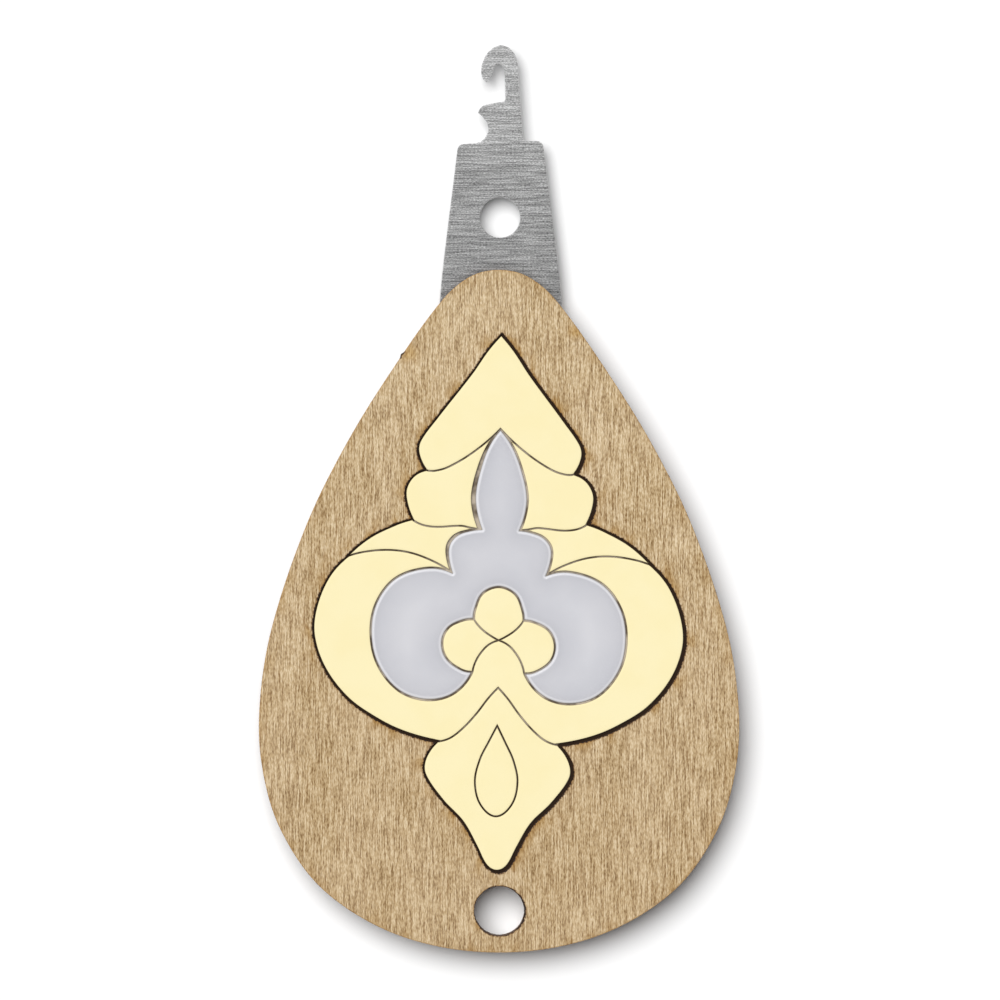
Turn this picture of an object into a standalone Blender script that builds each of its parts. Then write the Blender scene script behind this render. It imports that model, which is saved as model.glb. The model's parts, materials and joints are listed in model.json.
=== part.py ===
"""Needle threader: a drop-shaped handle of two plywood layers, an inlaid ornament and a sheet-steel hook.

The threader lies on its back plate. +Y points to the hook, +X to the right seen from the front, and +Z
out of the front. The origin is on the underside, in the middle of the whole outline. Lengths here are
in millimetres, and become metres when a mesh is made.

The ornament is one pattern of cut lines. Its right half is drawn in CUT_LINES and mirrored, each piece
is the area inside a chain of those lines, and every piece stands back from them by its share of the gap.
"""

import math

import bmesh
import bpy
from mathutils import Matrix, Vector
from mathutils.geometry import interpolate_bezier

METRES = 0.001

# Layers, counted from the underside.
BACK_THICKNESS = 2.0
POCKET_DEPTH = 0.5
BLADE_THICKNESS = 0.4
BLADE_SEAT = 0.05
GLUE_LINE = 0.1
FRONT_THICKNESS = 1.5
INLAY_PROUD = 0.08
PEARL_SUNK = 0.12

POCKET_FLOOR = BACK_THICKNESS - POCKET_DEPTH
BLADE_BOTTOM = POCKET_FLOOR + BLADE_SEAT
FRONT_BOTTOM = BACK_THICKNESS + GLUE_LINE
FRONT_TOP = FRONT_BOTTOM + FRONT_THICKNESS
INLAY_TOP = FRONT_TOP + INLAY_PROUD
PEARL_TOP = INLAY_TOP - PEARL_SUNK

# Right side of the drop-shaped handle, from the middle of its top to the middle of its round end.
HANDLE_TOP = (-0.04, 19.05)
HANDLE_END = (-0.04, -37.85)
HANDLE_SIDE = [
    HANDLE_TOP, (2.35, 18.5), (4.72, 16.5), (9.02, 10.5), (12.72, 4.5), (15.97, -2.1), (18.82, -10.45),
    (19.87, -16.6), (19.77, -22.0), (18.17, -27.6), (14.42, -32.8), (7.95, -36.55), HANDLE_END,
]
HANGING_HOLE_CENTRE = (-0.03, -34.4)
HANGING_HOLE_RADIUS = 2.08

# Steel blade: a tapering tongue with its wide end in the handle, a hole, and the hook at its tip.
BLADE_MIDDLE = 0.1
BLADE_END = 4.0
BLADE_HALF_WIDTH = 5.2
BLADE_TAPER_START = 15.0
BLADE_END_RADIUS = 1.0
SHOULDER_RADIUS = 0.55
SHOULDER_LEFT = (-2.98, 29.05)
SHOULDER_RIGHT = (3.12, 29.28)
TAPER_ANGLE = 6.0
NECK_FILLET_RADIUS = 0.35
NECK_FILLET = (2.28, 30.18)
BLADE_HOLE_CENTRE = (0.04, 23.45)
BLADE_HOLE_RADIUS = 1.68
HOOK_BOW = [
    (1.93, 30.18), (1.75, 32.8), (1.6, 35.0), (1.42, 36.75), (0.85, 37.57), (0.08, 37.85), (-0.8, 37.42),
    (-1.36, 36.6), (-1.52, 35.5), (-1.07, 34.75), (-0.63, 35.25), (-0.45, 36.0), (-0.08, 36.3),
    (0.32, 36.02), (0.42, 35.3), (0.49, 33.35),
]
HOOK_LEDGE = [(0.36, 33.13), (-1.2, 32.86), (-1.62, 32.58), (-1.78, 32.17)]
THREAD_NOTCH = [(-1.78, 32.17), (-1.15, 31.5), (-0.95, 30.75), (-1.28, 30.05), (-1.95, 29.67)]

# The blade's pocket runs out through the top of the back plate.
POCKET_CLEARANCE = 0.2
POCKET_REACH = 22.0

# Joints of the ornament, where cut lines meet.
TIP = (0, 13.8)
NECK = (6.35, 2.25)
WAIST = (7.42, -1.87)
PETAL_TIP = (12.95, -5.33)
HIP = (5.2, -20.43)
TAIL = (0, -31.16)
SPEAR_TIP = (0, 5.8)
SPEAR_BASE = (1.75, -2.6)
FORK = (4.0, -6.25)
CLEFT = (2.05, -10.15)
CUP = (2.15, -14.5)
CROSSING = (0, -11.83)
CHEVRON_TIP = (0, -15.78)

# Cut lines of the ornament's right half, each a smooth curve from joint to joint.
CUT_LINES = {
    "arrow_side": [TIP, (1.2, 12.4), (2.55, 10.4), (5.4, 6.65), (6.8, 4.65), (6.94, 3.6), NECK],
    "shoulder_side": [NECK, (7.35, 1.67), (7.95, 0.55), (7.88, -0.6), WAIST],
    "petal_side": [WAIST, (8.8, -2.37), (11.0, -3.55), PETAL_TIP],
    "crescent_side": [
        PETAL_TIP, (14.42, -7.12), (15.4, -9.75), (15.5, -12.0), (14.55, -14.65), (12.6, -17.1),
        (10.15, -18.75), (7.95, -19.75), HIP,
    ],
    "pendant_side": [
        HIP, (6.15, -21.9), (6.15, -23.2), (4.65, -25.35), (2.95, -27.1), (1.82, -29.05), (1.15, -30.4),
        (0.62, -30.97), TAIL,
    ],
    "arrow_base": [NECK, (5.6, 2.12), (4.3, 2.5), (2.1, 3.9), SPEAR_TIP],
    "shoulder_base": [WAIST, (6.5, -2.37), (5.3, -2.53), (3.2, -2.38), (2.4, -2.52), SPEAR_BASE],
    "spear_side": [SPEAR_TIP, (1.15, 4.2), (1.95, 2.1), (2.33, 0.2), (2.2, -1.2), SPEAR_BASE],
    "small_lobe": [SPEAR_BASE, (2.6, -2.72), (3.65, -3.1), (4.3, -3.85), (4.4, -4.8), FORK],
    "petal_base": [PETAL_TIP, (11.4, -4.82), (9.3, -4.57), (7.4, -4.75), (5.5, -5.4), FORK],
    "great_lobe": [
        FORK, (6.0, -5.95), (8.6, -6.85), (10.2, -8.9), (10.68, -11.4), (10.13, -14.05), (8.35, -16.25),
        (5.95, -17.0), (3.7, -16.4), CUP,
    ],
    "leaf_top": [(0, -7.4), (1.35, -7.98), (1.95, -9.3), CLEFT],
    "leaf_side": [CLEFT, (3.05, -10.3), (4.2, -10.95), (4.68, -12.15), (4.3, -13.45), (3.1, -14.33), CUP],
    "upper_cross": [CROSSING, (0.96, -11.28), (1.6, -10.75), CLEFT],
    "lower_cross": [CROSSING, (0.9, -12.28), (1.6, -13.1), (1.98, -13.85), CUP],
    "chevron": [CHEVRON_TIP, (0.83, -16.7), (1.8, -18.0), (2.87, -19.2), (4.0, -20.1), HIP],
}
DROP_TIP = (-0.05, -18.95)
DROP_BOTTOM = (-0.12, -26.5)
DROP_SIDE = [DROP_TIP, (0.62, -20.3), (1.32, -21.8), (1.68, -23.6), (1.2, -25.5), DROP_BOTTOM]
RIM_LINES = ["arrow_side", "shoulder_side", "petal_side", "crescent_side", "pendant_side"]

# Each piece as the chain of cut lines around it: a line's side of the ornament, and its name.
SIDE_PIECES = {
    "shoulder_inlay": ["shoulder_side", "shoulder_base", "spear_side", "arrow_base"],
    "petal_inlay": ["petal_side", "petal_base", "small_lobe", "shoulder_base"],
    "leaf_inlay": ["leaf_side", "lower_cross", "upper_cross"],
}
MIDDLE_PIECES = {
    "arrowhead_inlay": ["arrow_side", "arrow_base"],
    "leaf_top_inlay": ["leaf_top", "upper_cross"],
    "crescent_inlay": ["lower_cross", "great_lobe", "petal_base", "crescent_side", "chevron"],
    "pearl_inlay": ["spear_side", "small_lobe", "great_lobe", "leaf_side", "leaf_top"],
}
PENDANT_LINES = ["chevron", "pendant_side"]

# Fit of the ornament. It sits a little askew, and its pieces lie to one side of their opening.
LEAN = 0.009
DROOP = 0.03
INLAY_SHIFT = (0.03, 0)
OPENING_SHIFT = (0.11, -0.05)
RIM_GAP = 0.2
KERF = 0.13
PEARL_LOOSE_SIDE = 0.24

SAME_POINT = 0.01
STRAIGHT_ON = 0.001
FINE_STEP = 0.4
HOOK_STEP = 0.22
COARSE_STEP = 0.9
ARC_STEP = 12
SHARP_EDGE = 30

BIRCH = ("birch", (0.60, 0.46, 0.29), 0.6, 0.0)
STEEL = ("steel", (0.36, 0.36, 0.37), 0.35, 1.0)
CREAM = ("cream", (0.98, 0.88, 0.53), 0.45, 0.0)
PEARL = ("pearl", (0.64, 0.64, 0.68), 0.2, 0.0)


def mirrored(points):
    """The points on the other side of the middle."""
    return [(-x, y) for x, y in points]


def smooth(points, step=FINE_STEP):
    """A smooth curve through the points, as closely spaced points from the first to the last.

    It passes each point along the line between its neighbours, and it leaves each end like an arc.
    """
    knots = [Vector(point) for point in points]
    ways = [(after - before).normalized() for before, after in zip(knots, knots[2:])]
    first_way = -ways[0].reflect((knots[1] - knots[0]).normalized())
    last_way = -ways[-1].reflect((knots[-1] - knots[-2]).normalized())
    return run_through(knots, [first_way] + ways + [last_way], step)


def smooth_loop(points, step=FINE_STEP):
    """A closed smooth curve through the points. The last point isn't repeated."""
    knots = [Vector(point) for point in points]
    neighbours = zip(knots[-1:] + knots, knots[1:] + knots[:1])
    ways = [(after - before).normalized() for before, after in neighbours]
    return run_through(knots + knots[:1], ways + ways[:1], step)[:-1]


def run_through(knots, ways, step):
    """Bezier curves from knot to knot, each leaving and arriving in its knots' directions."""
    curve = [knots[0].to_2d()]
    for start, end, way_out, way_in in zip(knots, knots[1:], ways, ways[1:]):
        third = (end - start).length / 3
        count = max(2, math.ceil(3 * third / step) + 1)
        bend = interpolate_bezier(start, start + way_out * third, end - way_in * third, end, count)
        curve += [point.to_2d() for point in bend[1:]]
    return curve


def arc(centre, radius, start, end):
    """Points of an arc between two angles in degrees, anticlockwise if the end is the greater."""
    count = max(2, math.ceil(abs(end - start) / ARC_STEP))
    angles = [math.radians(start + (end - start) * i / count) for i in range(count + 1)]
    return [Vector(centre) + radius * Vector((math.cos(a), math.sin(a))) for a in angles]


def circle(centre, radius):
    return arc(centre, radius, 0, 360)[:-1]


def symmetric_loop(side, step=FINE_STEP):
    """A closed smooth curve from its right side, mirrored about the line through its ends."""
    middle = side[0][0] + side[-1][0]
    other = [(middle - x, y) for x, y in side[-2:0:-1]]
    return smooth_loop(side + other, step)


def pointed_loop(side):
    """A closed curve from its right side with a sharp start, mirrored about the line through its ends."""
    tip, bottom = Vector(side[0]), Vector(side[-1])
    middle = [tip.x + (bottom.x - tip.x) * (y - tip.y) / (bottom.y - tip.y) for _, y in side]
    other = [(2 * m - x, y) for m, (x, y) in zip(middle, side)]
    return smooth(side + other[-2::-1])[:-1]


def askew(points, shift):
    """Points of the ornament's pattern as it sits in the handle."""
    lean = Matrix(((1, LEAN), (-DROOP, 1)))
    return [lean @ Vector(point) + Vector(shift) for point in points]


def cut_line(side, name):
    line = CUT_LINES[name]
    return smooth(line if side == "right" else mirrored(line))


def chained(lines):
    """Cut lines laid end to end round a piece, anticlockwise, with the line that each edge belongs to."""
    runs = [cut_line(*line) for line in lines]
    if touches(runs[0][0], runs[1]):
        runs[0].reverse()
    for run, after in zip(runs, runs[1:]):
        if not touches(run[-1], after[:1]):
            after.reverse()
    outline = [point for run in runs for point in run[:-1]]
    owners = [line for line, run in zip(lines, runs) for _ in run[:-1]]
    if signed_area(outline) < 0:
        outline.reverse()
        owners.reverse()
        owners = owners[1:] + owners[:1]
    return outline, owners


def touches(point, run):
    """Whether a run of points starts or ends at this one."""
    return min((point - run[0]).length, (point - run[-1]).length) < SAME_POINT


def signed_area(outline):
    return sum(a.cross(b) for a, b in zip(outline, outline[1:] + outline[:1])) / 2


def meeting(first, second):
    """Where two edges meet when they are drawn on, each given by its start and end."""
    a, b = first[1] - first[0], second[1] - second[0]
    turn = a.normalized().cross(b.normalized())
    if abs(turn) < STRAIGHT_ON:
        return (first[1] + second[0]) / 2
    return first[0] + a * ((second[0] - first[0]).cross(b) / a.cross(b))


def inset(outline, trims):
    """An anticlockwise outline with each edge moved inward by its own trim.

    An edge with no length left goes, and its neighbours meet instead, the shortest edge first.
    """
    edges = []
    for start, end, trim in zip(outline, outline[1:] + outline[:1], trims):
        inward = (end - start).orthogonal().normalized() * trim
        edges.append((start + inward, end + inward))
    while True:
        corners = [meeting(edges[i - 1], edges[i]) for i in range(len(edges))]
        spans = zip(corners, corners[1:] + corners[:1], edges)
        lengths = [(after - before).dot((edge[1] - edge[0]).normalized()) for before, after, edge in spans]
        if min(lengths) > 0:
            return corners
        del edges[lengths.index(min(lengths))]


def both_sides(names):
    """A closed chain that crosses the middle: down the right side, and back up the left."""
    return [("right", name) for name in names] + [("left", name) for name in reversed(names)]


def inlay_outline(lines):
    """A piece's outline, which stands back from the middle of each cut line around it."""
    outline, owners = chained(lines)
    trims = [RIM_GAP if name in RIM_LINES else KERF / 2 for _, name in owners]
    return inset(askew(outline, INLAY_SHIFT), trims)


def loosened(outline):
    """The pearl piece's outline, drawn in along the left of its spear, most of all halfway up."""
    drawn = []
    for x, y in outline:
        share = (y - FORK[1]) / (SPEAR_TIP[1] - FORK[1])
        if x < 0 < share < 1:
            x += PEARL_LOOSE_SIDE * math.sin(math.pi * share)
        drawn.append(Vector((x, y)))
    return drawn


def handle_outline():
    return symmetric_loop(HANDLE_SIDE, COARSE_STEP)


def opening_outline():
    """The opening for the ornament in the front plate."""
    outline, _ = chained(both_sides(RIM_LINES))
    return askew(outline, OPENING_SHIFT)


def blade_outline():
    """The blade's edge, anticlockwise from the left corner of its wide end."""
    left, right = BLADE_MIDDLE - BLADE_HALF_WIDTH, BLADE_MIDDLE + BLADE_HALF_WIDTH
    inner, low = BLADE_HALF_WIDTH - BLADE_END_RADIUS, BLADE_END + BLADE_END_RADIUS
    outline = arc((BLADE_MIDDLE - inner, low), BLADE_END_RADIUS, 180, 270)
    outline += arc((BLADE_MIDDLE + inner, low), BLADE_END_RADIUS, 270, 360)
    outline += [Vector((right, BLADE_TAPER_START))]
    outline += arc(SHOULDER_RIGHT, SHOULDER_RADIUS, TAPER_ANGLE, 90)
    outline += arc(NECK_FILLET, NECK_FILLET_RADIUS, 270, 180)[:-1]
    outline += smooth(HOOK_BOW, HOOK_STEP) + smooth(HOOK_LEDGE, HOOK_STEP)
    outline += smooth(THREAD_NOTCH, HOOK_STEP)[1:]
    outline += arc(SHOULDER_LEFT, SHOULDER_RADIUS, 90, 180 - TAPER_ANGLE)
    return outline + [Vector((left, BLADE_TAPER_START))]


def material(name, colour, roughness, metallic):
    surface = bpy.data.materials.new(name)
    surface.use_nodes = True
    shader = surface.node_tree.nodes["Principled BSDF"]
    shader.inputs["Base Color"].default_value = (*colour, 1)
    shader.inputs["Roughness"].default_value = roughness
    shader.inputs["Metallic"].default_value = metallic
    return surface


def slab(name, loops, bottom, top):
    """A flat piece between two heights. Its first loop is its outline, and any others are holes."""
    shape = bmesh.new()
    edges = []
    for loop in loops:
        ring = [shape.verts.new((x, y, bottom)) for x, y in loop]
        edges += [shape.edges.new(pair) for pair in zip(ring, ring[1:] + ring[:1])]
    bmesh.ops.triangle_fill(shape, use_beauty=True, edges=edges)
    raised = bmesh.ops.extrude_face_region(shape, geom=shape.faces[:])
    upper = [part for part in raised["geom"] if isinstance(part, bmesh.types.BMVert)]
    bmesh.ops.translate(shape, verts=upper, vec=(0, 0, top - bottom))
    bmesh.ops.recalc_face_normals(shape, faces=shape.faces)
    bmesh.ops.scale(shape, verts=shape.verts, vec=(METRES, METRES, METRES))
    mesh = bpy.data.meshes.new(name)
    shape.to_mesh(mesh)
    shape.free()
    mesh.shade_smooth()
    mesh.set_sharp_from_angle(angle=math.radians(SHARP_EDGE))
    piece = bpy.data.objects.new(name, mesh)
    bpy.context.scene.collection.objects.link(piece)
    return piece


def part(name, loops, bottom, top, finish):
    """A slab that is a piece of the threader, with its material."""
    piece = slab(name, loops, bottom, top)
    piece.data.materials.append(material(name + "_" + finish[0], *finish[1:]))
    return piece


def cut(piece, cutter):
    """Takes the cutter's shape out of the piece."""
    cutter.hide_render = True
    cutter.display_type = "WIRE"
    boolean = piece.modifiers.new("pocket", "BOOLEAN")
    boolean.operation = "DIFFERENCE"
    boolean.object = cutter


def make_handle():
    """The back plate, with the blade's pocket, and the front plate, with the ornament's opening."""
    hole = circle(HANGING_HOLE_CENTRE, HANGING_HOLE_RADIUS)
    back = part("back_plate", [handle_outline(), hole], 0, BACK_THICKNESS, BIRCH)
    half_width = BLADE_HALF_WIDTH + POCKET_CLEARANCE
    left, right = BLADE_MIDDLE - half_width, BLADE_MIDDLE + half_width
    low = BLADE_END - POCKET_CLEARANCE
    pocket = [(left, low), (right, low), (right, POCKET_REACH), (left, POCKET_REACH)]
    cut(back, slab("blade_pocket", [pocket], POCKET_FLOOR, FRONT_TOP))
    part("front_plate", [handle_outline(), opening_outline(), hole], FRONT_BOTTOM, FRONT_TOP, BIRCH)


def make_blade():
    loops = [blade_outline(), circle(BLADE_HOLE_CENTRE, BLADE_HOLE_RADIUS)]
    part("threader_blade", loops, BLADE_BOTTOM, BLADE_BOTTOM + BLADE_THICKNESS, STEEL)


def make_pendant():
    """The hanging pendant, with the drop let into it."""
    drop = askew(pointed_loop(DROP_SIDE), INLAY_SHIFT)
    if signed_area(drop) < 0:
        drop.reverse()
    window = inset(drop, [-KERF / 2] * len(drop))
    inner = inset(drop, [KERF / 2] * len(drop))
    outer = inlay_outline(both_sides(PENDANT_LINES))
    part("pendant_inlay", [outer, window], FRONT_BOTTOM, INLAY_TOP, CREAM)
    part("drop_inlay", [inner], FRONT_BOTTOM, INLAY_TOP, CREAM)


def make_inlays():
    """The pieces of the ornament that its cut lines bound."""
    for name, names in MIDDLE_PIECES.items():
        outline = inlay_outline(both_sides(names))
        if name == "pearl_inlay":
            part(name, [loosened(outline)], FRONT_BOTTOM, PEARL_TOP, PEARL)
        else:
            part(name, [outline], FRONT_BOTTOM, INLAY_TOP, CREAM)
    for side in ("left", "right"):
        for name, names in SIDE_PIECES.items():
            outline = inlay_outline([(side, line) for line in names])
            part(side + "_" + name, [outline], FRONT_BOTTOM, INLAY_TOP, CREAM)


def main():
    for leftover in list(bpy.data.objects):
        bpy.data.objects.remove(leftover)
    make_handle()
    make_blade()
    make_pendant()
    make_inlays()


main()
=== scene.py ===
"""The looks of the needle threader: fine pieces, their materials, and the studio.

Every piece takes its outline and heights from the CAD node that it replaces. Lengths here are in
millimetres, and become metres when a mesh or the camera is made and where a texture or bump is sized.
"""

import json
import math
from collections import namedtuple

import bpy
import numpy as np
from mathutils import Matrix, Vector
from mathutils.geometry import delaunay_2d_cdt, interpolate_bezier


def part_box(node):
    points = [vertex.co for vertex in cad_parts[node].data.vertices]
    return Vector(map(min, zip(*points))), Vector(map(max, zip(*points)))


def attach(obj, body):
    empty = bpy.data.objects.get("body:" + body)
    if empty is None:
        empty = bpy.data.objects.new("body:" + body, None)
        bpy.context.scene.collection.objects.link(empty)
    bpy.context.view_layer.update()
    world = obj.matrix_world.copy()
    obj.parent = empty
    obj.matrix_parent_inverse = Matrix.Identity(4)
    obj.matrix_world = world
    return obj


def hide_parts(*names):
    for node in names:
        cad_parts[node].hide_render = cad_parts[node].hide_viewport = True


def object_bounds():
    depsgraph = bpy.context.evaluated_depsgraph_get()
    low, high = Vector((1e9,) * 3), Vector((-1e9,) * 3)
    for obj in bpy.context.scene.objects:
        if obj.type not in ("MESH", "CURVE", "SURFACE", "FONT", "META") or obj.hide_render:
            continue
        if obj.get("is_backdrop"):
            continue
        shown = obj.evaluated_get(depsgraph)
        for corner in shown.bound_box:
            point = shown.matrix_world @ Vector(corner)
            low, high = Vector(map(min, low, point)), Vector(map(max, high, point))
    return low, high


MM = 0.001

# Outlines: the least turn of a corner, the widest step of a fan round an inward corner, and how far apart an
# outline's points are.
SHARP_TURN = math.radians(35)
FAN_TURN = math.radians(20)
FINE_STEP = 0.16
BLADE_STEP = 0.1

# How far below a solid's top a face may lie and still belong to it, how much of its depth a point inside a
# loop must keep from every edge, and how many distances are worked out at once.
TOP_LAYER = 0.01
KEPT_SHARE = 0.96
LARGEST_BATCH = 2_000_000

# How fine a kind of piece is made. rounding is that of its upper edge, rows are the depths inside the edge at
# which it has points, spacing is that of its points in the middle, levels is the number of rings down its
# walls, and ridges is the depth of the fine upright ridges that cutting leaves on them.
Finish = namedtuple("Finish", "rounding rows spacing levels ridges")
WOOD = Finish(0.07, [0.02, 0.07, 0.13, 0.22, 0.36, 0.6, 1.0, 1.7, 2.8], 2.5, 6, 0.014)
CREAM = Finish(0.06, [0.02, 0.06, 0.2, 0.6], 1.5, 4, 0.01)
PEARL = Finish(0.22, [0.015, 0.05, 0.11, 0.22, 0.32, 0.45, 0.65, 0.95, 1.4, 2.0, 2.8], 0.7, 4, 0.01)
STEEL = Finish(0.06, [0.02, 0.06, 0.14, 0.4], 1.0, 3, 0.002)
GLUE = Finish(0.001, [0.3], 5, 1, 0)
GROUT = Finish(0.001, [0.05], 50, 1, 0)

# The veneers in a plate, and how far the film of glue stays back from the plates' edge, their hanging hole
# and their faces.
VENEERS = 3
GLUE_MARGIN = 0.3
GLUE_HOLE_MARGIN = 0.2
GLUE_GAP = 0.005

# The pocket's cutter: how far inside the back plate's faces its corners are looked for, and how far it
# reaches past the plate's end and top.
POCKET_SKIN = 0.1
CUTTER_REACH = 1

# Laser marks beside the ornament's opening: the least width of the char, how much wider it gets on the sides
# that face these ways, and how far the smoke reaches.
CHAR_WIDTH = 0.01
CHAR_DRIFT = 0.06
CHAR_SIDES = [(-1, 0.4), (0.4, -1)]
SMOKE_REACH = 1.4

# Laser marks beside the hanging hole, each with the way it faces, and the smoke along the handle's edge.
HOLE_CHAR = 0.14
HOLE_CHAR_SIDE = (1, 0.1)
HOLE_SMOKE_REACH = 0.5
HOLE_SMOKE_SIDE = (-1, -0.9)
EDGE_SMOKE = 0.45
EDGE_SMOKE_REACH = 1.1

# The burnt burr on the handle's left edge, and the stains: the middle, radius and strength of each. BURR_CHAR
# is how far the burr's char reaches inward.
BURR = (-8.12, 11.96)
BURR_SIZE = 0.32
BURR_HEIGHT = 0.12
BURR_CHAR = 0.07
STAINS = [((-7.5, 12.1), 0.9, 0.55), ((6.3, 13.9), 0.75, 0.6), ((-5.7, 15.6), 0.3, 0.5)]

# Gaps of the ornament, whose filling is coloured with painted shade: how far it lies below the inlays, and
# the distance from the wood at which the drop's gap counts, which gives it little soot and painted shade.
GROUT_DEPTH = 0.28
SOOT_AND_SHADE_AT_DROP = 0.18

# Painted shade and light along Y: where the plywood darkens, the steel brightens, and its neck begins.
WOOD_PAINTED_SHADE = (12, -38)
STEEL_PAINTED_LIGHT = (19, 36)
STEEL_NECK_PAINTED_LIGHT = (28.5, 30.5)

# Studio. WHITE_LEVEL is the strength of all the light, and SKY_SHARE the part of it that the sky gives.
# GLOSS_SKY is the sky's strength in reflections, outside and inside its glow, and BACKDROP its strength where
# the camera sees it. Tilts are from straight above. KEY_WIDTH is the angle that the key light fills, and
# GLOW_EDGE holds the cosines between which the glow rises. AIM goes from the threader's middle to the view's.
FLOOR_TONE = 0.86
WHITE_LEVEL = 1.25
SKY_SHARE = 0.11
GLOSS_SKY = (0.62, 1.3)
BACKDROP = 1.0
KEY_TILT = math.radians(21)
KEY_WIDTH = math.radians(46)
GLOW_TILT = math.radians(48)
GLOW_EDGE = (0.72, 0.97)
LIGHT_WAY = (-0.6, 0.8)
FLOOR_REACH = 900
LENS = 400
SENSOR = 36
VIEW_WIDTH = 83.33
AIM = (0.08, -0.125)


def unit(vectors):
    """The vectors at length 1."""
    return vectors / np.maximum(np.linalg.norm(vectors, axis=-1, keepdims=True), 1e-12)


def inward(edges):
    """The direction to the left of each edge, which is the inside of a piece."""
    return unit(np.stack([-edges[:, 1], edges[:, 0]], axis=1))


def inner_ways(loop):
    """The direction into the piece at each point of a loop."""
    return inward(np.roll(loop, -1, axis=0) - np.roll(loop, 1, axis=0))


def turns(loop):
    """The angle by which a loop turns at each of its points, positive to the left."""
    after = unit(np.roll(loop, -1, axis=0) - loop)
    before = np.roll(after, 1, axis=0)
    cross = before[:, 0] * after[:, 1] - before[:, 1] * after[:, 0]
    return np.arctan2(cross, (before * after).sum(axis=1))


def top_loops(mesh):
    """The loops around a CAD solid's top face, in mm: its outline anticlockwise, and its holes clockwise."""
    mesh.calc_loop_triangles()
    points = [tuple(round(x / MM, 3) for x in vertex.co) for vertex in mesh.vertices]
    top = max(point[2] for point in points)
    edges = set()
    for triangle in mesh.loop_triangles:
        corners = [points[i] for i in triangle.vertices]
        if min(corner[2] for corner in corners) > top - TOP_LAYER:
            edges |= {(a[:2], b[:2]) for a, b in zip(corners, corners[1:] + corners[:1])}
    after = {a: b for a, b in edges if (b, a) not in edges}
    loops = []
    while after:
        first = min(after)
        loop = [first]
        while after[loop[-1]] != first:
            loop.append(after.pop(loop[-1]))
        del after[loop[-1]]
        loops.append(np.array(loop))
    return sorted(loops, key=lambda loop: -np.ptp(loop[:, 1]))


def finer(loop, step):
    """The loop with points at most about this far apart, curved through its own but not round corners."""
    chords = np.roll(loop, -1, axis=0) - loop
    ways = unit(np.roll(loop, -1, axis=0) - np.roll(loop, 1, axis=0))
    sharp = np.abs(turns(loop)) > SHARP_TURN
    made = []
    for i, chord in enumerate(chords):
        after = (i + 1) % len(loop)
        along = chord / np.linalg.norm(chord)
        ends = [mirrored(ways[after], along) if sharp[i] else ways[i]]
        ends.append(mirrored(ways[i], along) if sharp[after] else ways[after])
        if sharp[i] and sharp[after]:
            ends = [along, along]
        third = np.linalg.norm(chord) / 3
        count = max(1, math.ceil(3 * third / step))
        knots = [loop[i], loop[i] + ends[0] * third, loop[after] - ends[1] * third, loop[after]]
        curve = interpolate_bezier(*[Vector((*knot, 0)) for knot in knots], count + 1)
        made += [point[:2] for point in curve[:-1]]
    return np.array(made)


def mirrored(way, axis):
    """A direction mirrored about an axis."""
    return 2 * (way @ axis) * axis - way


def gaps(points, loop):
    """Each point's distance to a loop, and the index of the loop's nearest edge."""
    edges = np.roll(loop, -1, axis=0) - loop
    squares = (edges**2).sum(axis=1)
    best, nearest = [], []
    for part in np.array_split(points, max(1, len(points) * len(loop) // LARGEST_BATCH)):
        away = part[:, None] - loop
        share = np.clip((away * edges).sum(axis=2) / squares, 0, 1)
        distance = np.linalg.norm(away - share[..., None] * edges, axis=2)
        nearest.append(distance.argmin(axis=1))
        best.append(distance.min(axis=1))
    return np.concatenate(best), np.concatenate(nearest)


def within(points, loops):
    """Which points lie inside the outline and outside the holes, by counting the edges to their right."""
    inside = np.zeros(len(points), bool)
    for loop in loops:
        for (x0, y0), (x1, y1) in zip(loop, np.roll(loop, -1, axis=0)):
            spans = (points[:, 1] < y0) != (points[:, 1] < y1)
            if spans.any():
                crossing = x0 + (points[:, 1] - y0) * (x1 - x0) / ((y1 - y0) or 1)
                inside ^= spans & (points[:, 0] < crossing)
    return inside


def row_points(loop, rows):
    """Points at each of the rows' depths inside a loop. Round an inward corner they make a fan."""
    normals = inward(np.roll(loop, -1, axis=0) - loop)
    before = np.roll(normals, 1, axis=0)
    made = []
    for point, first, last, turn in zip(loop, before, normals, turns(loop)):
        count = max(1, math.ceil(-turn / FAN_TURN))
        shares = np.linspace(0, 1, count + 1) if count > 1 else [0.5]
        ways = unit(np.array([first * (1 - share) + last * share for share in shares]))
        made += [point + way * depth for way in ways for depth in rows]
    return np.array(made)


def filling(loops, rows, spacing):
    """Points inside the loops: rows along each one, and a grid in the middle."""
    low, high = loops[0].min(axis=0), loops[0].max(axis=0)
    across, along = np.meshgrid(np.arange(low[0], high[0], spacing), np.arange(low[1], high[1], spacing))
    grid = np.stack([across.ravel(), along.ravel()], axis=1)
    grid = grid[within(grid, loops)]
    margin = np.min([gaps(grid, loop)[0] for loop in loops], axis=0)
    kept = [grid[margin > rows[-1] + spacing / 2]]
    for loop in loops:
        points = row_points(loop, rows)
        depth = np.tile(rows, len(points) // len(rows))
        margin = np.min([gaps(points, other)[0] for other in loops], axis=0)
        kept.append(points[(margin > depth * KEPT_SHARE) & within(points, loops)])
    return np.concatenate(kept)


def rounded_drop(margin, radius):
    """How far a surface lies below its top at this distance from the edge, for an edge of this radius."""
    inside = np.clip(radius - margin, 0, radius)
    return radius - np.sqrt(np.maximum(radius**2 - inside**2, 0))


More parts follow.
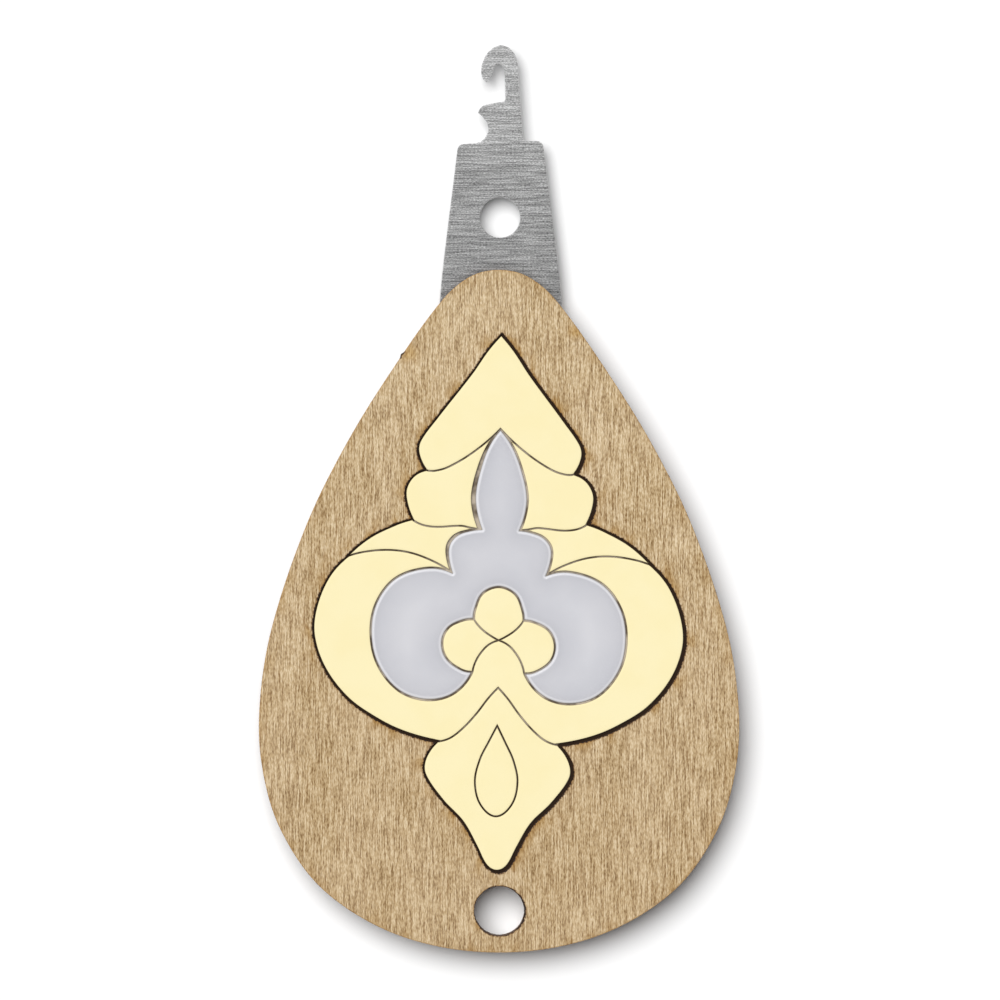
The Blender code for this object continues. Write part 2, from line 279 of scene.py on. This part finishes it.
def triangulated(loops, inner):
    """The points and triangles of a flat face, and where each of the loops' points went."""
    flat = [Vector(point) for point in np.concatenate([*loops, inner])]
    edges, start = [], 0
    for loop in loops:
        edges += [(start + i, start + (i + 1) % len(loop)) for i in range(len(loop))]
        start += len(loop)
    points, _, faces, origins, _, _ = delaunay_2d_cdt(flat, edges, [], 1, 1e-7)
    points = np.array([point[:] for point in points])
    faces = np.array(faces)
    faces = faces[within(points[faces].mean(axis=1), loops)].tolist()
    place = {origin: i for i, found in enumerate(origins) for origin in found}
    rims, start = [], 0
    for loop in loops:
        rims.append([place[start + i] for i in range(len(loop))])
        start += len(loop)
    return points, faces, rims


def solid(name, loops, bottom, top, finish, slots=(0, 0, 0)):
    """A closed piece with a rounded upper edge and ridged walls.

    slots are the material indices of its top, walls and underside.
    """
    flat, faces, rims = triangulated(loops, filling(loops, finish.rows, finish.spacing))
    margin = np.min([gaps(flat, loop)[0] for loop in loops], axis=0)
    vertices = [*np.column_stack([flat, top - rounded_drop(margin, finish.rounding)])]
    indices = [slots[0]] * len(faces)
    levels = np.linspace(top - finish.rounding, bottom, finish.levels + 1)[1:]
    for loop, rim in zip(loops, rims):
        normals = unit(inward(np.roll(loop, -1, axis=0) - loop) + inward(loop - np.roll(loop, 1, axis=0)))
        ridges = finish.ridges * np.random.default_rng(len(loop)).uniform(-1, 1, len(loop))
        wall = loop + normals * ridges[:, None]
        above = rim
        for level in levels:
            start = len(vertices)
            vertices += [*np.column_stack([wall, np.full(len(loop), level)])]
            below = list(range(start, start + len(loop)))
            for i, j in zip(range(len(loop)), [*range(1, len(loop)), 0]):
                faces.append([above[j], above[i], below[i], below[j]])
                indices.append(slots[1])
            above = below
        rim[:] = above
    lowest = [np.array([vertices[i][:2] for i in rim]) for rim in rims]
    _, under_faces, places = triangulated(lowest, np.empty((0, 2)))
    lowest_index = {place: i for found, rim in zip(places, rims) for place, i in zip(found, rim)}
    for face in under_faces:
        faces.append([lowest_index[i] for i in reversed(face)])
        indices.append(slots[2])
    return piece(name, np.array(vertices), faces, indices)


def piece(name, vertices, faces, indices):
    """An object in the scene, from vertices in mm, faces, and each face's material index."""
    mesh = bpy.data.meshes.new(name)
    mesh.from_pydata((vertices * MM).tolist(), [], faces)
    mesh.polygons.foreach_set("material_index", indices)
    mesh.shade_smooth()
    mesh.set_sharp_from_angle(angle=SHARP_TURN)
    made = bpy.data.objects.new(name, mesh)
    bpy.context.scene.collection.objects.link(made)
    return made


def attribute(made, name, values):
    """A number on each point of a piece, which its material can read."""
    layer = made.data.attributes.new(name, "FLOAT", "POINT")
    layer.data.foreach_set("value", np.asarray(values, np.float32))


def flat_points(made):
    """The X and Y of each point of a piece, in mm."""
    points = np.empty(len(made.data.vertices) * 3, np.float32)
    made.data.vertices.foreach_get("co", points)
    return points.reshape(-1, 3)[:, :2] / MM


def put(tree, socket, value):
    """Sets a node's socket, or links it to another one."""
    if isinstance(value, bpy.types.NodeSocket):
        tree.links.new(value, socket)
    else:
        socket.default_value = value


class Shader:
    """A material whose nodes are added one by one. Sizes given to its textures are in millimetres."""

    def __init__(self, name, **settings):
        self.material = bpy.data.materials.new(name)
        self.material.use_nodes = True
        self.tree = self.material.node_tree
        self.surface = self.tree.nodes["Principled BSDF"]
        self.place = self.add("TexCoord").outputs["Object"]
        for setting, value in settings.items():
            self.give(setting.replace("_", " ").title(), value)

    def add(self, kind, inputs=(), **settings):
        made = self.tree.nodes.new("ShaderNode" + kind)
        for setting, value in settings.items():
            setattr(made, setting, value)
        for socket, value in dict(inputs).items():
            put(self.tree, made.inputs[socket], value)
        return made

    def give(self, setting, value):
        """Sets or links one of the surface's own sockets."""
        put(self.tree, self.surface.inputs[setting], value)

    def noise(self, size, seed, detail=2.0, contrast=None):
        """Clouds of about this size along X, Y and Z. contrast holds the values that become 0 and 1."""
        scale = [1 / (length * MM) for length in size]
        offset = (seed * 7.31, seed * 3.17, seed * 5.03)
        moved = self.add("Mapping", {"Vector": self.place, "Scale": scale, "Location": offset}).outputs[0]
        cloud = self.add("TexNoise", {"Vector": moved, "Scale": 1.0, "Detail": detail, "Roughness": 0.55})
        value = cloud.outputs["Factor" if "Factor" in cloud.outputs else "Fac"]
        return self.between(value, *contrast) if contrast else value

    def between(self, value, low, high):
        """0 below low, 1 above high, and smooth in between. low may be the greater."""
        inputs = {"Value": value, "From Min": low, "From Max": high}
        return self.add("MapRange", inputs, interpolation_type="SMOOTHSTEP").outputs["Result"]

    def number(self, name):
        """A number that attribute() put on the points of the piece."""
        return self.add("Attribute", attribute_name=name).outputs["Fac"]

    def maths(self, operation, first, second=0.0):
        return self.add("Math", {0: first, 1: second}, operation=operation).outputs[0]

    def mix(self, share, first, second, mode="MIX"):
        made = self.add("Mix", data_type="RGBA", blend_type=mode)
        for index, value in ((0, share), (6, first), (7, second)):
            put(self.tree, made.inputs[index], value)
        return made.outputs[2]

    def ramp(self, value, stops):
        """A colour for a number, from (number, colour) pairs."""
        made = self.add("ValToRGB", {"Fac": value})
        elements = made.color_ramp.elements
        while len(elements) < len(stops):
            elements.new(0.5)
        for element, (position, colour) in zip(elements, stops):
            element.position = position
            element.color = colour
        return made.outputs["Color"]

    def bump(self, height, strength, depth):
        inputs = {"Height": height, "Strength": strength, "Distance": depth * MM}
        self.give("Normal", self.add("Bump", inputs).outputs[0])


def seen(red, green, blue):
    """The surface colour that looks like this screen colour where the studio's light falls on it."""
    return (*[linear(value / 255) / WHITE_LEVEL for value in (red, green, blue)], 1)


def linear(value):
    """A screen value as a linear one."""
    return value / 12.92 if value <= 0.04045 else ((value + 0.055) / 1.055) ** 2.4


def birch_face():
    """Birch veneer: fine flecks, streaks and pores along Y, stained, and browned by the laser beside cuts."""
    shader = Shader("birch_face", roughness=0.6)
    fleck = shader.noise((0.075, 0.32, 0.32), 1, 2, (0.3, 0.7))
    streak = shader.noise((0.1, 2.1, 2.1), 2, 2, (0.32, 0.68))
    tone = shader.mix(0.5, fleck, streak)
    stops = [(0.1, seen(116, 84, 44)), (0.5, seen(202, 175, 134)), (0.9, seen(244, 225, 191))]
    wood = shader.ramp(tone, stops)
    cloud = shader.noise((3.5, 9, 9), 3, 2, (0.35, 0.65))
    wood = shader.mix(0.2, wood, shader.mix(cloud, seen(182, 154, 108), seen(214, 190, 154)))
    # Painted shade: the plywood darkens towards the bottom, away from the light.
    along = shader.add("SeparateXYZ", {0: shader.place}).outputs["Y"]
    low = shader.between(along, WOOD_PAINTED_SHADE[0] * MM, WOOD_PAINTED_SHADE[1] * MM)
    wood = shader.mix(shader.maths("MULTIPLY", low, 0.17), wood, seen(222, 196, 152), "MULTIPLY")
    pore = shader.noise((0.085, 4.5, 4.5), 4, 2, (0.6, 0.68))
    wood = shader.mix(shader.maths("MULTIPLY", pore, 0.5), wood, seen(138, 100, 56))
    patch = shader.noise((1.3, 2.2, 2.2), 5, 2, (0.45, 0.62))
    smoke = shader.maths("MULTIPLY", shader.number("smoke"), patch)
    wood = shader.mix(smoke, wood, shader.mix(fleck, seen(140, 100, 44), seen(186, 150, 92)))
    wood = shader.mix(shader.number("stain"), wood, shader.mix(fleck, seen(158, 116, 52), seen(204, 166, 98)))
    speck = shader.noise((0.14, 0.2, 0.2), 6, 2, (0.36, 0.58))
    band = shader.between(shader.number("rim"), 0.13, 0.03)
    browned = shader.mix(speck, seen(120, 84, 50), seen(206, 164, 104))
    wood = shader.mix(shader.maths("MULTIPLY", band, 0.6), wood, browned)
    ragged = shader.noise((0.16, 0.16, 0.16), 7, 3)
    sway = shader.maths("MULTIPLY", shader.maths("SUBTRACT", ragged, 0.5), 0.34)
    depth = shader.maths("ADD", shader.number("char"), sway)
    wood = shader.mix(shader.between(depth, -0.11, 0.0), wood, seen(104, 70, 38))
    wood = shader.mix(shader.between(depth, -0.035, 0.015), wood, seen(34, 21, 11))
    shader.give("Base Color", wood)
    shader.bump(tone, 0.3, 0.02)
    return shader.material


def birch_edge():
    """A laser-cut plywood edge: veneers with their glue lines, browned in upright streaks."""
    shader = Shader("birch_edge", roughness=0.75)
    streak = shader.noise((0.22, 0.22, 2.6), 8, 3, (0.3, 0.7))
    burnt = shader.mix(streak, seen(70, 44, 24), seen(128, 90, 54))
    soot = shader.noise((1.5, 1.5, 0.8), 9, 2, (0.45, 0.7))
    burnt = shader.mix(shader.maths("MULTIPLY", soot, 0.6), burnt, seen(44, 28, 16))
    depth = shader.maths("PINGPONG", shader.number("ply"), VENEERS / 2)
    middle = shader.between(depth, 0.98, 1.02)
    burnt = shader.mix(shader.maths("MULTIPLY", middle, 0.45), burnt, seen(150, 108, 66))
    line = shader.between(shader.maths("ABSOLUTE", shader.maths("SUBTRACT", depth, 1.0)), 0.09, 0.03)
    burnt = shader.mix(shader.maths("MULTIPLY", line, 0.8), burnt, seen(30, 18, 10))
    shader.give("Base Color", burnt)
    shader.bump(streak, 0.5, 0.03)
    return shader.material


def cream_face():
    """Smooth cream paint, a little browned at the very edge."""
    shader = Shader("cream_face", roughness=0.42)
    cloud = shader.noise((3, 3, 3), 10, 2, (0.3, 0.7))
    cream = shader.mix(cloud, seen(254, 241, 190), seen(255, 243, 195))
    edge = shader.between(shader.number("rim"), 0.05, 0.0)
    shader.give("Base Color", shader.mix(shader.maths("MULTIPLY", edge, 0.6), cream, seen(190, 168, 120)))
    shader.bump(shader.noise((0.5, 0.5, 0.5), 11), 0.08, 0.02)
    return shader.material


def cream_edge():
    """The browned cut edge of a painted inlay."""
    shader = Shader("cream_edge", roughness=0.7)
    streak = shader.noise((0.2, 0.2, 2.4), 12, 3, (0.3, 0.7))
    shader.give("Base Color", shader.mix(streak, seen(104, 82, 54), seen(168, 142, 100)))
    shader.bump(streak, 0.4, 0.02)
    return shader.material


def pearl_face():
    """Glossy pearl grey, softened at the edge: a painted highlight, painted shade inside it, a light middle.
    """
    shader = Shader("pearl_face", roughness=0.3, coat_weight=0.4, coat_roughness=0.12)
    rim = shader.maths("DIVIDE", shader.number("rim"), PEARL.rows[-1])
    # Painted light by the edge: a painted highlight, then painted shade that lightens towards the middle.
    stops = [
        (0.0, seen(150, 143, 138)), (0.02, seen(236, 236, 240)), (0.06, seen(236, 236, 240)),
        (0.11, seen(193, 193, 199)), (0.3, seen(201, 201, 207)), (1.0, seen(214, 214, 219)),
    ]
    pearl = shader.ramp(rim, stops)
    cloud = shader.noise((4, 4, 4), 13, 2, (0.3, 0.7))
    pearl = shader.mix(0.25, pearl, shader.mix(cloud, seen(202, 203, 210), seen(218, 217, 221)))
    shader.give("Base Color", pearl)
    shader.bump(shader.noise((0.8, 0.8, 0.8), 14), 0.1, 0.02)
    return shader.material


def pearl_edge():
    """The dull cut edge of the pearl inlay."""
    shader = Shader("pearl_edge", roughness=0.5)
    streak = shader.noise((0.2, 0.2, 2.4), 15, 3, (0.3, 0.7))
    shader.give("Base Color", shader.mix(streak, seen(104, 98, 92), seen(142, 134, 127)))
    return shader.material


def brushed_steel():
    """Sheet steel brushed across the blade, along X, with painted shade by the wood, painted light by the
    hook.
    """
    shader = Shader("brushed_steel", metallic=1.0)
    grit = shader.noise((0.17, 0.06, 0.06), 16, 2, (0.28, 0.72))
    stroke = shader.noise((2.4, 0.07, 0.07), 17, 2, (0.3, 0.7))
    tone = shader.mix(0.45, grit, stroke)
    dark, middle, light = [(level, level, level, 1) for level in (0.12, 0.442, 0.94)]
    steel = shader.ramp(tone, [(0.05, dark), (0.5, middle), (0.95, light)])
    scratch = shader.noise((3.2, 0.06, 0.06), 18, 1, (0.66, 0.73))
    steel = shader.mix(shader.maths("MULTIPLY", scratch, 0.45), steel, (0.96, 0.96, 0.96, 1))
    # Painted shade and light: the steel is darker near the wood and brighter towards the hook.
    along = shader.add("SeparateXYZ", {0: shader.place}).outputs["Y"]
    painted_light_limits = {"Value": along, "To Min": 0.9, "To Max": 1.2}
    painted_light_limits |= {"From Min": STEEL_PAINTED_LIGHT[0] * MM, "From Max": STEEL_PAINTED_LIGHT[1] * MM}
    steel = shader.mix(1.0, steel, shader.add("MapRange", painted_light_limits).outputs[0], "MULTIPLY")
    # Painted light: from the neck up the steel is brighter still.
    painted_neck_light = shader.between(along, STEEL_NECK_PAINTED_LIGHT[0] * MM, STEEL_NECK_PAINTED_LIGHT[1] * MM)
    steel = shader.mix(painted_neck_light, steel, shader.mix(1.0, steel, (1.12, 1.12, 1.12, 1), "MULTIPLY"))
    shader.give("Base Color", steel)
    sheen = shader.add("MapRange", {"Value": tone, "To Min": 0.3, "To Max": 0.46})
    shader.give("Roughness", sheen.outputs[0])
    shader.bump(tone, 0.15, 0.01)
    return shader.material


def glue():
    """The dried adhesive film between the plates."""
    shader = Shader("glue", roughness=0.55)
    cloud = shader.noise((0.4, 0.4, 0.4), 19, 2, (0.3, 0.7))
    shader.give("Base Color", shader.mix(cloud, seen(64, 48, 32), seen(96, 76, 54)))
    return shader.material


def grout():
    """Glue and dust with painted shade in the ornament's narrow gaps, black by the wood with soot and shade.
    """
    shader = Shader("grout", roughness=0.8)
    cloud = shader.noise((1.6, 1.6, 1.6), 20, 2, (0.38, 0.62))
    # Painted shade: the gaps are dark for the shade down them as well as for glue and dust, and black by the
    # wood.
    dust_and_shade = shader.mix(cloud, seen(96, 84, 70), seen(190, 178, 160))
    soot = shader.between(shader.number("soot"), 0.34, 0.22)
    shader.give("Base Color", shader.mix(soot, dust_and_shade, seen(40, 26, 14)))
    return shader.material


def margin_and_way(points, loop):
    """Each point's distance to a loop, and the direction from the loop's nearest edge into the piece."""
    distance, nearest = gaps(points, loop)
    ways = inward(np.roll(loop, -1, axis=0) - loop)
    return distance, ways[nearest]


def facing(ways, direction):
    """How much each way faces a direction, from 0 to 1."""
    return np.clip(ways @ (np.array(direction) / np.hypot(*direction)), 0, 1)


def brown(made, outline, opening, hole):
    """The marks on a wooden plate, as numbers on its points.

    They are a point's distance to the plate's edges, how far it is inside the char, its smoke and its stain.
    """
    points = flat_points(made)
    rim = gaps(points, outline)[0]
    bore, bore_way = margin_and_way(points, hole)
    attribute(made, "rim", np.minimum(rim, bore))
    char = HOLE_CHAR * facing(bore_way, HOLE_CHAR_SIDE) ** 2 - bore
    smoke = facing(bore_way, HOLE_SMOKE_SIDE) ** 2 * np.clip(1 - bore / HOLE_SMOKE_REACH, 0, 1)
    smoke = np.maximum(smoke, EDGE_SMOKE * np.clip(1 - rim / EDGE_SMOKE_REACH, 0, 1))
    if opening is not None:
        cut, cut_way = margin_and_way(points, opening)
        drift = np.max([facing(cut_way, side) for side in CHAR_SIDES], axis=0)
        char = np.maximum(char, CHAR_WIDTH + CHAR_DRIFT * drift - cut)
        smoke = np.maximum(smoke, np.clip(1 - cut / SMOKE_REACH, 0, 1) ** 1.5)
    char = np.maximum(char, np.minimum(BURR_SIZE - np.hypot(*(points - BURR).T), BURR_CHAR - rim))
    stain = []
    for middle, radius, strength in STAINS:
        stain.append(np.clip(1.5 - 1.5 * np.hypot(*(points - middle).T) / radius, 0, 1) * strength)
    attribute(made, "char", char)
    attribute(made, "smoke", smoke)
    attribute(made, "stain", np.max(stain, axis=0))


def layered(made, bottom, top):
    """Gives each point its height in veneers, from the underside up."""
    levels = np.array([vertex.co.z for vertex in made.data.vertices]) / MM
    attribute(made, "ply", (levels - bottom) / (top - bottom) * VENEERS)


def fine_loops(node, step=FINE_STEP):
    """The loops around a CAD node's top face, made finer."""
    return [finer(loop, step) for loop in top_loops(frame["nodes"][node].data)]


def heights(node):
    """The bottom and top of a CAD node, in mm."""
    low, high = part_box(node)
    return low.z / MM, high.z / MM


def finish_piece(made, node, materials):
    """Gives a piece its materials, parents it to the root body, and hides the CAD node that it replaces, if
    any.
    """
    for material in materials:
        made.data.materials.append(material)
    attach(made, "root")
    if node:
        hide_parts(node)


def pocketed(plate, node):
    """Cuts the blade's pocket, as the CAD back plate has it, out of the fine one."""
    bottom, top = heights(node)
    points = np.array([vertex.co / MM for vertex in frame["nodes"][node].data.vertices])
    inner = points[(points[:, 2] > bottom + POCKET_SKIN) & (points[:, 2] < top - POCKET_SKIN)]
    low, high = inner.min(axis=0), inner.max(axis=0) + (0, CUTTER_REACH, CUTTER_REACH)
    x, y, z = zip(low, high)
    corners = np.array([(a, b, c) for a in x for b in y for c in z])
    faces = [[0, 1, 3, 2], [4, 6, 7, 5], [0, 4, 5, 1], [2, 3, 7, 6], [0, 2, 6, 4], [1, 5, 7, 3]]
    cutter = piece("pocket_cutter", corners, faces, [1] * len(faces))
    boolean = plate.modifiers.new("pocket", "BOOLEAN")
    boolean.operation = "DIFFERENCE"
    boolean.object = cutter
    cut = bpy.data.meshes.new_from_object(plate.evaluated_get(bpy.context.evaluated_depsgraph_get()))
    plate.modifiers.clear()
    plate.data = cut
    bpy.data.objects.remove(cutter)


def burred(outline):
    """The handle's outline with the burnt burr standing out of it."""
    share = np.clip(1 - np.hypot(*(outline - BURR).T) / BURR_SIZE, 0, 1)
    return outline - BURR_HEIGHT * share[:, None] * inner_ways(outline)


def make_handle(face, edge):
    """The two plywood plates. It returns their outline, the ornament's opening, and the hanging hole."""
    outline, opening, hole = fine_loops("front_plate")
    outline = burred(outline)
    for node, loops in (("back_plate", [outline, hole]), ("front_plate", [outline, opening, hole])):
        bottom, top = heights(node)
        made = solid(node + "_wood", loops, bottom, top, WOOD, (0, 1, 0))
        brown(made, outline, opening if node == "front_plate" else None, hole)
        layered(made, bottom, top)
        made.data.materials.append(face)
        made.data.materials.append(edge)
        if node == "back_plate":
            pocketed(made, node)
        finish_piece(made, node, [])
    return outline, opening, hole


def make_glue(outline, hole):
    """The adhesive between the plates, a little short of their edges."""
    low, high = heights("back_plate")[1], heights("front_plate")[0]
    short = outline + GLUE_MARGIN * inner_ways(outline)
    wide = hole + GLUE_HOLE_MARGIN * inner_ways(hole)
    made = solid("adhesive_film", [short, wide], low + GLUE_GAP, high - GLUE_GAP, GLUE)
    finish_piece(made, None, [glue()])


def make_grout_and_shade(opening, inlay_loops, window):
    """What fills the gaps of the ornament, up to a little below the inlays, coloured with painted shade."""
    low, high = heights("pendant_inlay")
    loops = [loop[::-1] for loop in [opening, *inlay_loops]]
    made = solid("gap_grout", loops, low, high - GROUT_DEPTH, GROUT)
    points = flat_points(made)
    attribute(made, "soot", np.minimum(gaps(points, opening)[0], SOOT_AND_SHADE_AT_DROP + gaps(points, window)[0]))
    finish_piece(made, None, [grout()])


def make_inlays(slot, suffix, finish, face, edge):
    """The inlays of one colour. It returns all their loops."""
    found = []
    for entry in frame["record"]["subparts"]:
        node = entry["node"]
        if entry["material_slot"] != slot:
            continue
        loops = fine_loops(node)
        made = solid(node + suffix, loops, *heights(node), finish, (0, 1, 1))
        points = flat_points(made)
        attribute(made, "rim", np.min([gaps(points, loop)[0] for loop in loops], axis=0))
        finish_piece(made, node, [face, edge])
        found += loops
    return found


def make_blade():
    """The steel blade with its hook."""
    loops = fine_loops("threader_blade", BLADE_STEP)
    made = solid("threader_blade_steel", loops, *heights("threader_blade"), STEEL)
    finish_piece(made, "threader_blade", [brushed_steel()])


def sky():
    """A pale sky. In reflections it is brighter, most of all towards the key light."""
    world = bpy.data.worlds.new("sky")
    world.use_nodes = True
    tree = world.node_tree
    rays, place, towards, glow = [
        tree.nodes.new("ShaderNode" + kind) for kind in ("LightPath", "TexCoord", "VectorMath", "MapRange")
    ]
    towards.operation = "DOT_PRODUCT"
    put(tree, towards.inputs[0], place.outputs["Generated"])
    put(tree, towards.inputs[1], from_above(GLOW_TILT))
    put(tree, glow.inputs["Value"], towards.outputs["Value"])
    for socket, value in zip(("From Min", "From Max", "To Min", "To Max"), (*GLOW_EDGE, *GLOSS_SKY)):
        put(tree, glow.inputs[socket], value)
    strength = WHITE_LEVEL * SKY_SHARE
    for ray, level in (("Is Glossy Ray", glow.outputs[0]), ("Is Camera Ray", BACKDROP)):
        choice = tree.nodes.new("ShaderNodeMix")
        for index, value in ((0, rays.outputs[ray]), (2, strength), (3, level)):
            put(tree, choice.inputs[index], value)
        strength = choice.outputs[0]
    background = tree.nodes["Background"]
    put(tree, background.inputs["Strength"], strength)
    put(tree, background.inputs["Color"], (1, 1, 1, 1))
    return world


def from_above(tilt):
    """The direction towards the upper left, this far from straight above."""
    return Vector((LIGHT_WAY[0] * math.sin(tilt), LIGHT_WAY[1] * math.sin(tilt), math.cos(tilt)))


def make_studio():
    """A white floor, a broad light from the upper left, a pale sky, and the camera straight above."""
    scene = bpy.context.scene
    scene.view_settings.view_transform = "Standard"
    corners = np.array([(-1, -1, 0), (1, -1, 0), (1, 1, 0), (-1, 1, 0)]) * FLOOR_REACH
    floor = piece("floor", corners, [[0, 1, 2, 3]], [0])
    paper = Shader("paper", roughness=0.9, base_color=(FLOOR_TONE, FLOOR_TONE, FLOOR_TONE, 1))
    floor.data.materials.append(paper.material)
    floor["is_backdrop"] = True

    lamp = bpy.data.lights.new("key", "SUN")
    lamp.energy = math.pi * WHITE_LEVEL * (1 - SKY_SHARE) / math.cos(KEY_TILT)
    lamp.angle = KEY_WIDTH
    key = bpy.data.objects.new("key", lamp)
    key.rotation_euler = from_above(KEY_TILT).to_track_quat("Z", "Y").to_euler()
    key.visible_glossy = False
    scene.collection.objects.link(key)

    scene.world = sky()

    low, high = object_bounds()
    middle = (low + high) / 2
    lens = bpy.data.cameras.new("camera")
    lens.lens = LENS
    lens.sensor_width = SENSOR
    camera = bpy.data.objects.new("camera", lens)
    distance = VIEW_WIDTH * MM * LENS / SENSOR
    camera.location = (middle.x + AIM[0] * MM, middle.y + AIM[1] * MM, high.z + distance)
    scene.collection.objects.link(camera)
    scene.camera = camera


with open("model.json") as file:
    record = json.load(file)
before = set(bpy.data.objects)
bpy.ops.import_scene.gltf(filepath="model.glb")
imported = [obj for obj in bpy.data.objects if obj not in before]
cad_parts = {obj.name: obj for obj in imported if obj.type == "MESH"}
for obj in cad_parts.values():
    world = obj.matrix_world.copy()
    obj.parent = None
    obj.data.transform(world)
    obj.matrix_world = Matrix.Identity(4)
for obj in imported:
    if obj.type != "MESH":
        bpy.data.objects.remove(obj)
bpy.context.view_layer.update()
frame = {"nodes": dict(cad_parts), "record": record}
outline, opening, hole = make_handle(birch_face(), birch_edge())
make_glue(outline, hole)
creams = make_inlays("cream", "_paint", CREAM, cream_face(), cream_edge())
pearls = make_inlays("pearl", "_gloss", PEARL, pearl_face(), pearl_edge())
window = fine_loops("pendant_inlay")[1]
make_grout_and_shade(opening, creams + pearls, window)
make_blade()
make_studio()
